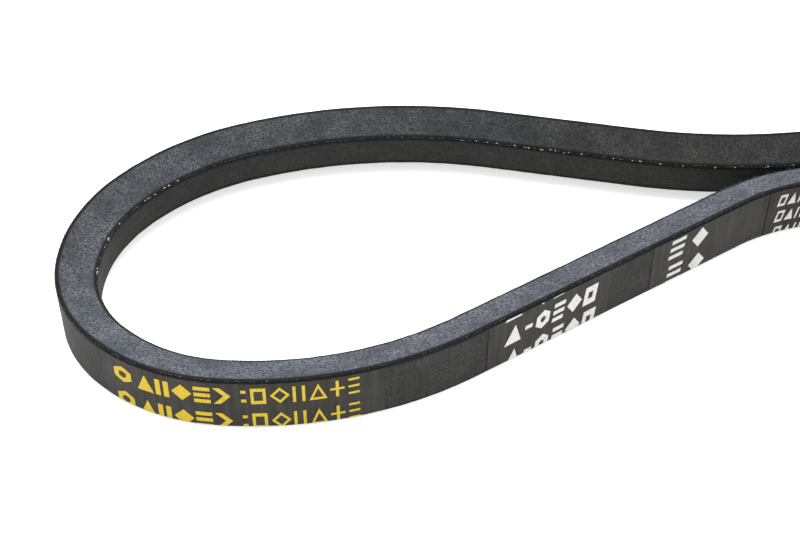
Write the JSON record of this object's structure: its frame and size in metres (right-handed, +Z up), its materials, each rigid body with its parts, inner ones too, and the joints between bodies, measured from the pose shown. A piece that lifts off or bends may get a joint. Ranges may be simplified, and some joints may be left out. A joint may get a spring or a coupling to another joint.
{
  "type": "v belt",
  "caption": "Fabric-wrapped classical V belt of narrow trapezoid section, lying on edge with an open head loop and the rest wound up double as a flat coil.",
  "frame": {"origin": "on the table at the middle of the open head loop, where a sheave's axis would stand", "axes": "+Z up out of the table, across the belt's width; +X from the head loop along the belt's lie to the coil; +Y towards the back run"},
  "size_m": [0.3481, 0.2173, 0.0126],
  "materials": {
    "cover_fabric": "rubber-coated woven polyester and cotton, matt, dusty",
    "inner_fabric": "rubber-coated woven fabric, matt",
    "core_rubber": "fibre-loaded chloroprene rubber, matt",
    "cushion_rubber": "soft adhesion rubber, matt",
    "cord_fibre": "twisted polyester cord, dipped",
    "label_film": "heat-transferred carrier film, dull satin",
    "yellow_ink": "yellow transfer ink, worn",
    "white_ink": "white transfer ink, worn"
  },
  "bodies": {
    "root": {"outer_wrap_ply": "cover_fabric", "inner_wrap_ply": "inner_fabric", "tension_rubber": "core_rubber", "compression_rubber": "core_rubber", "upper_adhesion_rubber": "cushion_rubber", "lower_adhesion_rubber": "cushion_rubber", "tension_cord": "cord_fibre", "class_label_film": "label_film", "section_label_film": "label_film", "length_label_film": "label_film", "batch_label_film": "label_film", "class_label_ink": "yellow_ink", "section_label_ink": "white_ink", "length_label_ink": "white_ink", "batch_label_ink": "white_ink"}
  },
  "joints": []
}
